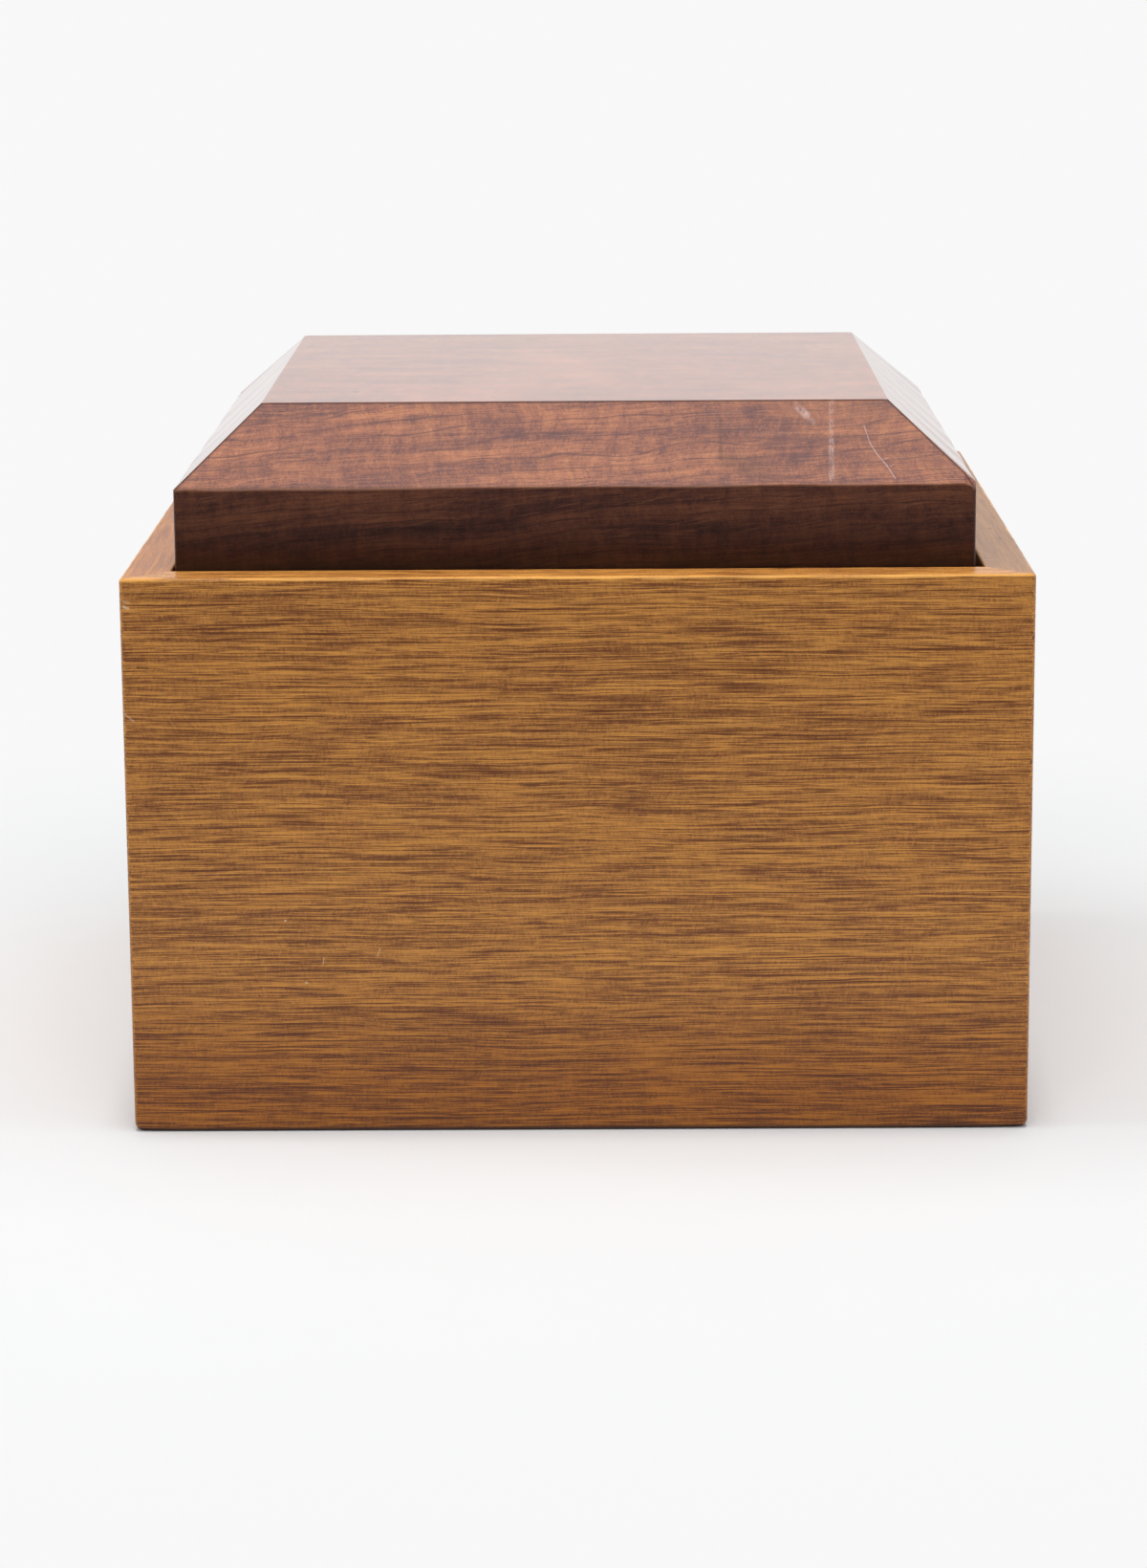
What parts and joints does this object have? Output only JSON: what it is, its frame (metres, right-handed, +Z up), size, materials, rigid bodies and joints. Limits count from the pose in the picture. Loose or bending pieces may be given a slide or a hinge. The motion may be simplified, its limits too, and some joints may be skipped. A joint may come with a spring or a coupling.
{
  "type": "sliding lid wooden box",
  "caption": "Square mitred wooden box with a thick bevelled lid block whose tongue slides out to the back in grooves below the rim.",
  "frame": {"origin": "middle of the base, on the surface that the box stands on", "axes": "+Z up, -Y the front that faces the user, +Y the way the lid slides out, +X to the right seen from the front"},
  "size_m": [0.2, 0.2, 0.1601],
  "materials": {
    "golden_wood": "satin",
    "red_brown_wood": "satin",
    "panel_wood": "matte",
    "spline_wood": "matte"
  },
  "bodies": {
    "box": {"front_wall": "golden_wood", "left_wall": "golden_wood", "right_wall": "golden_wood", "back_wall": "golden_wood", "bottom_panel": "panel_wood", "spline_front_left": "spline_wood", "spline_front_right": "spline_wood", "spline_back_left": "spline_wood", "spline_back_right": "spline_wood"},
    "lid": {"lid_block": "red_brown_wood", "lid_rail": "golden_wood"}
  },
  "joints": [
    {"name": "lid_slide", "type": "slide", "parent": "box", "child": "lid", "axis": [0, 1, 0], "range_m": [0, 0.19]}
  ]
}
